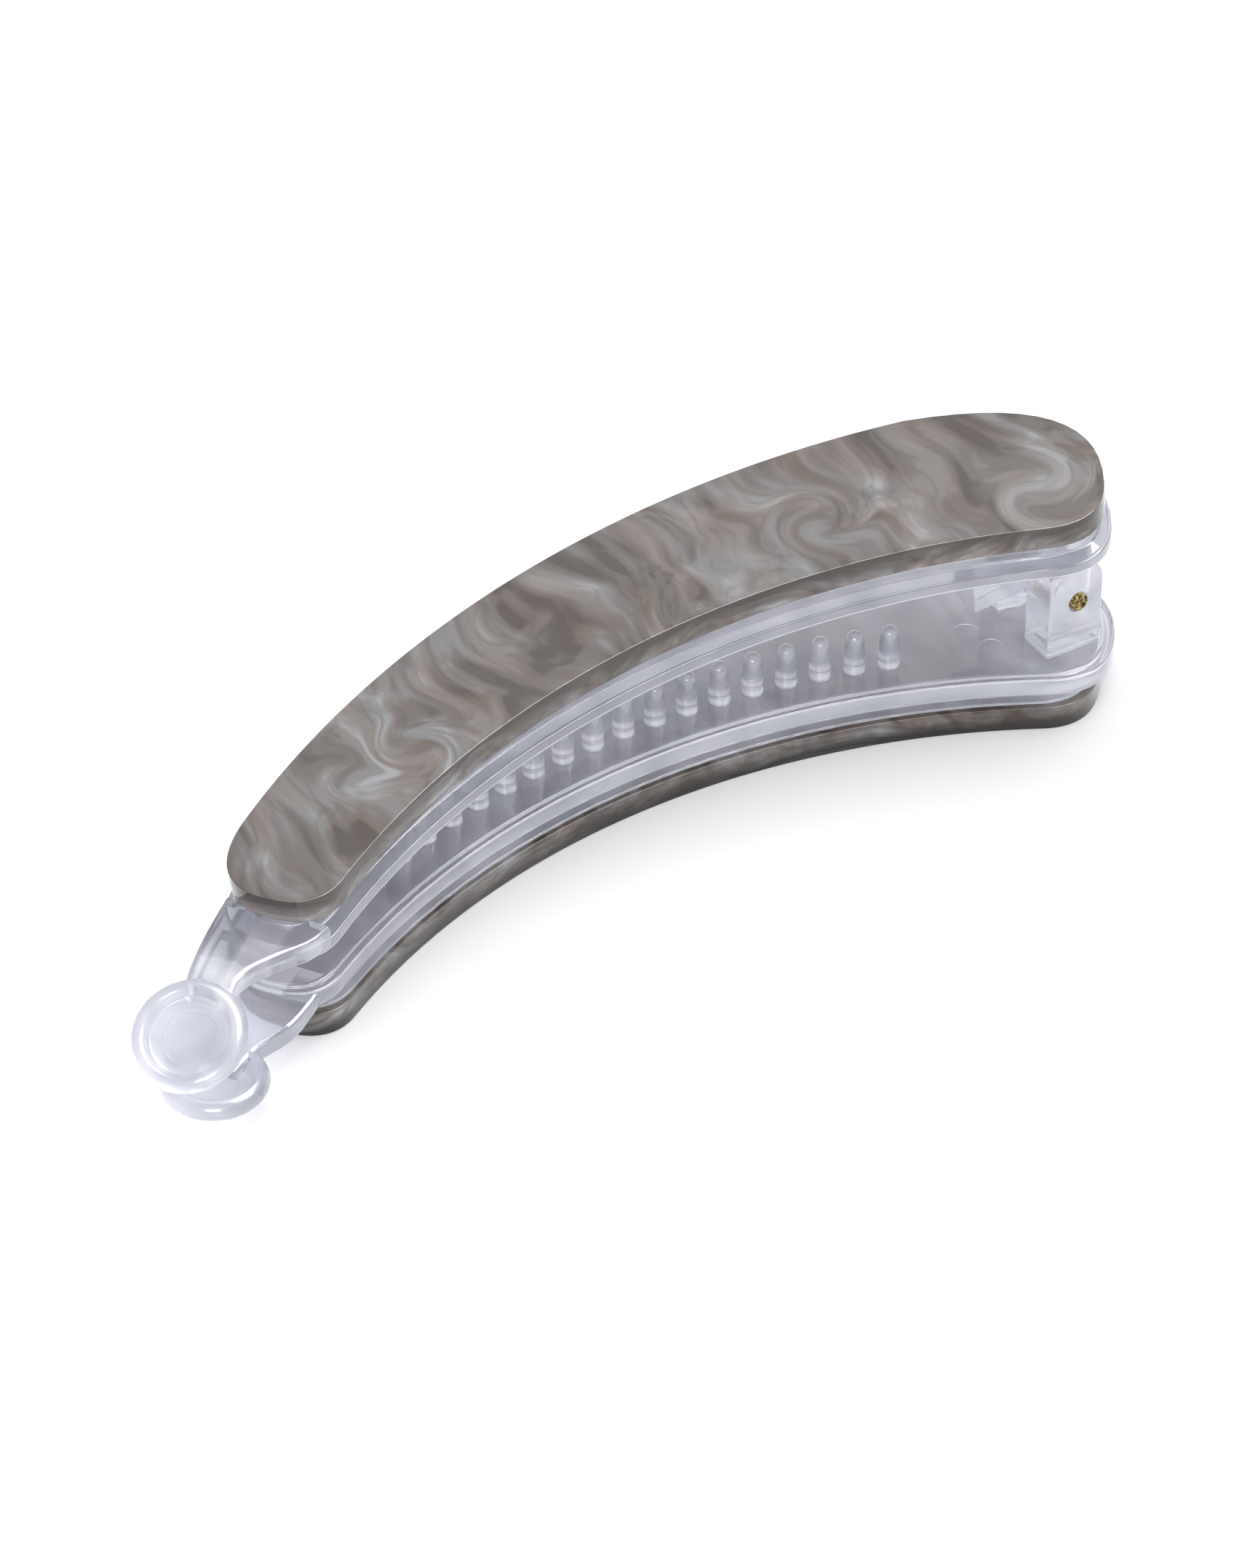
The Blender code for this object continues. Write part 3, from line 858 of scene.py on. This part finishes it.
# %% [markdown]
# ### Teeth that hold the hair
#
# One row of blunt teeth stands on the floor of the tray. Each is a stubby rod
# that tapers a little and ends in a dome, so that it leaves the mould easily and
# doesn't catch. An Array modifier along a curve could repeat one tooth. A loop
# over angles about the curve's centre is simpler and keeps them all upright.

# %% Eighteen teeth along the curve
TOOTH_COUNT, TOOTH_FIRST, TOOTH_STEP = 18, 71.6, 2.41  # angles in degrees
TOOTH_SIDES = 28
TOOTH_ROWS = ((1.33, -0.5), (1.32, 0.05), (1.29, 0.5), (1.26, 1.0), (1.20, 2.2), (1.13, 3.3),
              (1.06, 4.1), (0.98, 4.55), (0.84, 4.88), (0.60, 5.12), (0.30, 5.22), (0.1, 5.25))
teeth = []
for i in range(TOOTH_COUNT):
    x, y = polar(TOOTH_ROW_R, TOOTH_FIRST + i * TOOTH_STEP)
    tooth_name = "tooth_%02d" % (i + 1)
    teeth.append(add_turned(tooth_name, TOOTH_ROWS, TOOTH_SIDES, at_lower(x, y, FLOOR_Z)))
spacing = math.radians(TOOTH_STEP) * TOOTH_ROW_R
print("teeth:", len(teeth), "with", round(spacing, 2), "mm from one to the next")

# %% [markdown]
# ### Ejector marks
#
# Between the teeth and the hinge two shallow round marks show where pins pushed
# the jaw out of its mould. They are cut before the teeth and lugs are added,
# while the floor is still plain.

# %% Two round marks in the tray floor
MARK_R, MARK_DEPTH, MARK_SIDES = 1.5, 0.12, 36
# Each mark's distance from the curve's centre and its angle.
MARKS = ((101.4, 65.9), (98.3, 64.5))
MARK_ROWS = ((MARK_R - 0.1, -MARK_DEPTH), (MARK_R, 0.5))
marks = [add_turned("mark_%d" % (k + 1), MARK_ROWS, MARK_SIDES, at_lower(*polar(*at), FLOOR_Z))
         for k, at in enumerate(MARKS)]
work_out(lower_shell, "DIFFERENCE", marks)

# %% [markdown]
# ### Lugs, and the jaw in one piece
#
# Two lugs stand at the hinge end and hold the pin, with room for the upper jaw's
# knuckle between them. Each has a large round corner towards the end of the clip
# and a small one towards the teeth. Everything is united with the tray first, and
# the hole is cut last, so that it goes through both lugs in one line.

# %% Hinge lugs and the union
FRONT_LUG_Y, KNUCKLE_Y, BACK_LUG_Y = (83.4, 88.2), (88.5, 93.0), (93.3, 97.0)
LUG_LEFT, LUG_RIGHT, LUG_TOP, LUG_ROUND = 46.4, 53.6, 17.0, 2.4
LUG_CORNER, EDGE_ROUND = 0.8, 0.3

lug_outline = [(LUG_LEFT, FLOOR_Z - 0.6), (LUG_RIGHT, FLOOR_Z - 0.6)]
lug_outline += bend((LUG_RIGHT, LUG_TOP - LUG_ROUND), (LUG_RIGHT, LUG_TOP),
                    (LUG_RIGHT - LUG_ROUND, LUG_TOP), 8)
lug_outline += bend((LUG_LEFT + LUG_CORNER, LUG_TOP), (LUG_LEFT, LUG_TOP),
                    (LUG_LEFT, LUG_TOP - LUG_CORNER), 4)
grown = [add_block("front_lug", lug_outline, FRONT_LUG_Y, EDGE_ROUND, LOWER_FRAME),
         add_block("back_lug", lug_outline, BACK_LUG_Y, EDGE_ROUND, LOWER_FRAME),
         add_arm("lower_arm", LOWER_ARM), add_pad("lower_pad", LOWER_PAD)]
work_out(lower_shell, "UNION", teeth + grown)
work_out(lower_shell, "DIFFERENCE", [pin_hole("lug_hole", at_lower(PIN_X, 0.0, PIN_Z))])
finish_piece(lower_shell, lower_plastic, "lower", "lower_jaw")

# %% [markdown]
# ## The upper jaw
#
# The upper jaw is the tray's counterpart and is hollow underneath. A wide ledge
# with a small lip runs round its neck and shines as a pale band under the plate.
# At the clasp end a low step shows as a curved line beyond the plate. The section
# starts at the ceiling of the hollow, comes down inside and goes up outside.

# %% Shell of the upper jaw
UPPER_NECK, UPPER_FLANGE = (2.6, 1.6, -0.8, -0.8), (0.9, -0.8, 0.5, 1.0)
CAVITY = inside(UPPER_NECK, 1.5)
UP_FLANGE_Z, UP_LEDGE_Z, UP_NECK_Z, UP_CEILING_Z = 9.6, 11.0, 11.4, 12.9
LIP = ((0.35, 0.06, 0.1), (0.45, -0.05, 0.05))  # inset, height on the ledge, rounding
lip = [(*inside(UPPER_FLANGE, by), UP_LEDGE_Z + up, soft) for by, up, soft in LIP]
shell_section = [(*inside(CAVITY, FLOOR_CAP), UP_CEILING_Z, 0.0), (*CAVITY, UP_CEILING_Z, 0.4),
                 (*CAVITY, UP_FLANGE_Z, 0.3), (*UPPER_FLANGE, UP_FLANGE_Z, 0.25),
                 (*UPPER_FLANGE, UP_LEDGE_Z, 0.2), *lip, (*UPPER_NECK, UP_NECK_Z, 0.3),
                 (*UPPER_NECK, UPPER_TOP_Z, 0.15),
                 (*inside(UPPER_NECK, NECK_CAP), UPPER_TOP_Z, 0.0)]
upper_shell = add_band("upper_shell", UPPER_ENDS, shell_section, UPPER_FRAME, UPPER_PIN_X)
print("ledge", round(UPPER_NECK[0] - UPPER_FLANGE[0], 2), "mm wide at the front")

# %% The step at the clasp end
SEAT, SEAT_CAP = (2.9, 1.9, -6.0, 0.9), 2.0
SEAT_LOW, SEAT_HIGH = UP_NECK_Z - 0.5, UPPER_TOP_Z - 0.7
seat_section = [(*inside(SEAT, SEAT_CAP), SEAT_LOW, 0.0), (*SEAT, SEAT_LOW, 0.1),
                (*SEAT, SEAT_HIGH, 0.3), (*inside(SEAT, SEAT_CAP), SEAT_HIGH, 0.0)]
seat_step = add_band("seat_step", UPPER_ENDS, seat_section, UPPER_FRAME, UPPER_PIN_X)
print("step", round(UPPER_TOP_Z - SEAT_HIGH, 2), "mm below the top of the jaw")

# %% [markdown]
# ### Knuckle, arm and pad
#
# A knuckle hangs from the jaw between the lugs and is rounded about the pin, so
# that it turns there without touching. It, the hollowed arm, the pad and the step
# are united with the shell. Both jaws let nearly all light through, but Cycles
# would give them the dark shadow of glass, so the two shells cast none.

# %% The upper jaw in one piece
KNUCKLE_LEFT, KNUCKLE_LOW, KNUCKLE_R = -10.6, 0.3, 3.3
KNUCKLE_TOP = UP_CEILING_Z + 0.6  # reaches into the ceiling
ARM_WALL, ARM_ROOF = 1.2, 1.3
knuckle_outline = [(KNUCKLE_R, KNUCKLE_TOP), (KNUCKLE_LEFT, KNUCKLE_TOP),
                   (KNUCKLE_LEFT, KNUCKLE_LOW)]
start = math.degrees(math.asin(KNUCKLE_LOW / KNUCKLE_R))
knuckle_outline += [polar(KNUCKLE_R, a) for a in spread(180.0 - start, 360.0, 24)]
upper_arm = add_arm("upper_arm", UPPER_ARM)
arm_hollow = add_arm("arm_hollow", cored(UPPER_ARM, ARM_WALL, ARM_ROOF))
work_out(upper_arm, "DIFFERENCE", [arm_hollow])
grown = [add_block("knuckle", knuckle_outline, KNUCKLE_Y, EDGE_ROUND, UPPER_FRAME),
         upper_arm, add_pad("upper_pad", UPPER_PAD), seat_step]
work_out(upper_shell, "UNION", grown)
work_out(upper_shell, "DIFFERENCE", [pin_hole("knuckle_hole", at_upper(0.0, 0.0, 0.0))])
finish_piece(upper_shell, upper_plastic, "upper", "upper_jaw")
for shell in (lower_shell, upper_shell):
    shell.visible_shadow = False

# %% [markdown]
# ## The brass hinge pin
#
# The pin is a short brass rod. Its end is knurled so that it bites into the
# lug, and the face is rough from being cropped to length. One fine noise drives
# the dark grime, the rougher metal in it and the small pits.

# %% Brass
GRIME_TONE, BRASS_TONE = (58, 44, 22), (214, 194, 132)


def worn_brass(name):
    finish, shader, add, to_shader = new_finish(name)
    place = add("TexCoord").outputs["Object"]
    grime = add("TexNoise", {"Vector": place, "Scale": 1400.0, "Detail": 4.0,
                             "Roughness": 0.65}).outputs["Fac"]
    tone = add("ValToRGB", {"Fac": grime})
    for stop, at, sampled in zip(tone.color_ramp.elements, (0.38, 0.62), (GRIME_TONE, BRASS_TONE)):
        stop.position, stop.color = at, from_sampled(*sampled)
    rough = add("MapRange", {"Value": grime, "To Min": 0.5, "To Max": 0.24}).outputs[0]
    pits = add("Bump", {"Height": grime, "Strength": 0.8, "Distance": 0.00015}).outputs[0]
    to_shader(Base_Color=tone.outputs["Color"], Roughness=rough, Normal=pits)
    shader.inputs["Metallic"].default_value = 1.0
    return finish


brass = worn_brass("brass")
print("brass nodes:", len(brass.node_tree.nodes))

# %% Pin with a knurled end
PIN_START = 83.0  # its front face, from the curve's centre
FLUTES, FLUTE_STEPS, FLUTE_DEPTH = 12, 8, 0.16
PIN_ROWS = ((0.55, 0.03, 0.0), (0.95, 0.0, 0.6), (1.05, 0.06, 1.0), (1.08, 0.2, 1.0),
            (1.08, 1.6, 1.0), (1.05, 1.9, 0.0), (1.05, 13.9, 0.0), (0.9, 14.2, 0.0))


def add_pin(name):
    """Rod from rows of radius, height and how deep the knurling is there."""
    loops = []
    for radius, z, knurl in PIN_ROWS:
        ring = []
        for angle in spread(0.0, 360.0, FLUTES * FLUTE_STEPS)[:-1]:
            dip = FLUTE_DEPTH * knurl * (0.5 - 0.5 * math.cos(math.radians(FLUTES * angle)))
            ring.append((*polar(radius - dip, angle), z))
        loops.append(ring)
    return add_solid(name, loops, at_lower(PIN_X, PIN_START, PIN_Z) @ ALONG_Y)


brass_pin = add_pin("brass_pin")
finish_piece(brass_pin, brass, "lower", "hinge_pin")

# %% [markdown]
# ## The table
#
# The clip lies on a plain white table. One large square is enough, a hair below
# the clip so that the two faces don't share a plane.

# %% White table
TABLE_SIZE, TABLE_DROP = 4.0, 0.00005  # metres


def white_table(name):
    finish, shader, add, to_shader = new_finish(name)
    place = add("TexCoord").outputs["Object"]
    grain = add("TexNoise", {"Vector": place, "Scale": 40.0, "Detail": 3.0}).outputs["Fac"]
    rough = add("MapRange", {"Value": grain, "To Min": 0.75, "To Max": 0.9}).outputs[0]
    to_shader(Roughness=rough)
    shader.inputs["Base Color"].default_value = (0.91, 0.91, 0.915, 1.0)
    shader.inputs["Specular IOR Level"].default_value = 0.2
    return finish


half = TABLE_SIZE / 2
corners = [(-half, -half, 0.0), (half, -half, 0.0), (half, half, 0.0), (-half, half, 0.0)]
table_mesh = bpy.data.meshes.new("table")
table_mesh.from_pydata(corners, [], [(0, 1, 2, 3)])
table_mesh.materials.append(white_table("white_table"))
table = bpy.data.objects.new("table", table_mesh)
table.location.z = -TABLE_DROP
bpy.context.scene.collection.objects.link(table)
print("table", TABLE_SIZE, "m wide")

# %% [markdown]
# ## The lights
#
# The light in the photograph is very soft, comes mostly from above and leaves
# hardly any shadow. A large softbox overhead and a smaller one in front do that.
# A photographer would also hold a white card over glossy things, so that they
# mirror it as long bright lines. The card here is seen by the gloss alone, and
# so doesn't brighten the acetate.

# %% Softboxes and a white card
def add_softbox(name, place, width, depth, power):
    """Rectangular light that faces the clip."""
    lamp = bpy.data.lights.new(name, "AREA")
    lamp.shape = "RECTANGLE"
    lamp.size, lamp.size_y = width, depth
    lamp.energy = power
    box = bpy.data.objects.new(name, lamp)
    box.location = place
    box.rotation_euler = Vector(place).to_track_quat("Z", "Y").to_euler()
    bpy.context.scene.collection.objects.link(box)
    print(name, "of", power, "W")
    return box


CARD_TURN = 27.0  # lays the card along the clip, in degrees
add_softbox("overhead", (0.10, 0.15, 0.75), 0.60, 0.60, 2.2)
add_softbox("front_light", (-0.38, -0.50, 0.33), 0.30, 0.25, 2.4)
card = add_softbox("gloss_card", (0.19, -0.03, 0.50), 0.66, 0.34, 6.5)
card.rotation_euler.rotate_axis("Z", math.radians(CARD_TURN))
card.visible_diffuse = False
card.visible_transmission = False

# %% [markdown]
# ### The room
#
# Clear plastic shows little of itself. What can be seen is the room, bent and
# squeezed at its edges, and in an evenly white room the edges would vanish. This
# one is greyer near the floor and turns white higher up.

# %% Pale room
LOW_WALL, HIGH_WALL = (0.80, 0.82, 0.87, 1.0), (1.0, 1.0, 1.0, 1.0)
WHITE_FROM, ROOM_STRENGTH = 0.65, 0.80  # height where it is white, and brightness

world = bpy.data.worlds.new("pale_room")
world.use_nodes = True
room = world.node_tree
toward = room.nodes.new("ShaderNodeTexCoord")
height = room.nodes.new("ShaderNodeSeparateXYZ")
walls = room.nodes.new("ShaderNodeValToRGB")
for stop, at, colour in zip(walls.color_ramp.elements, (0.0, WHITE_FROM), (LOW_WALL, HIGH_WALL)):
    stop.position, stop.color = at, colour
room.links.new(toward.outputs["Generated"], height.inputs[0])
room.links.new(height.outputs["Z"], walls.inputs["Fac"])
room.links.new(walls.outputs["Color"], room.nodes["Background"].inputs["Color"])
room.nodes["Background"].inputs["Strength"].default_value = ROOM_STRENGTH
bpy.context.scene.world = world
bpy.context.scene.view_settings.view_transform = "Standard"
print("room strength", ROOM_STRENGTH)

# %% [markdown]
# ## The camera
#
# The camera stands where the photograph was taken from: in front of the hollow
# side, towards the clasp, and fairly steeply above. Its place, direction and lens
# were found by matching points of the clip, so they aren't round numbers. Three
# arrows at right angles, to its right, up and away from what it sees, make its
# matrix.

# %% Camera
CAMERA_PLACE = (-0.262774, -0.435528, 0.420126)
CAMERA_TURN, CAMERA_TILT = 31.3, 39.07  # degrees: round from -Y, and up
CAMERA_LENS, SENSOR = 170.87, 36.0      # both in millimetres

turn, tilt = math.radians(CAMERA_TURN), math.radians(CAMERA_TILT)
right = Vector((math.cos(turn), -math.sin(turn), 0.0))
level = math.cos(tilt)
away = Vector((-math.sin(turn) * level, -math.cos(turn) * level, math.sin(tilt)))
up = away.cross(right)
lens = bpy.data.cameras.new("photo_view")
lens.sensor_fit, lens.sensor_width, lens.lens = "HORIZONTAL", SENSOR, CAMERA_LENS
lens.clip_start = 0.01
camera = bpy.data.objects.new("photo_view", lens)
facing = Matrix((right, up, away)).transposed().to_4x4()
camera.matrix_world = Matrix.Translation(CAMERA_PLACE) @ facing
bpy.context.scene.collection.objects.link(camera)
bpy.context.scene.camera = camera
print("camera at", CAMERA_PLACE, "looks along", [round(-c, 3) for c in away])
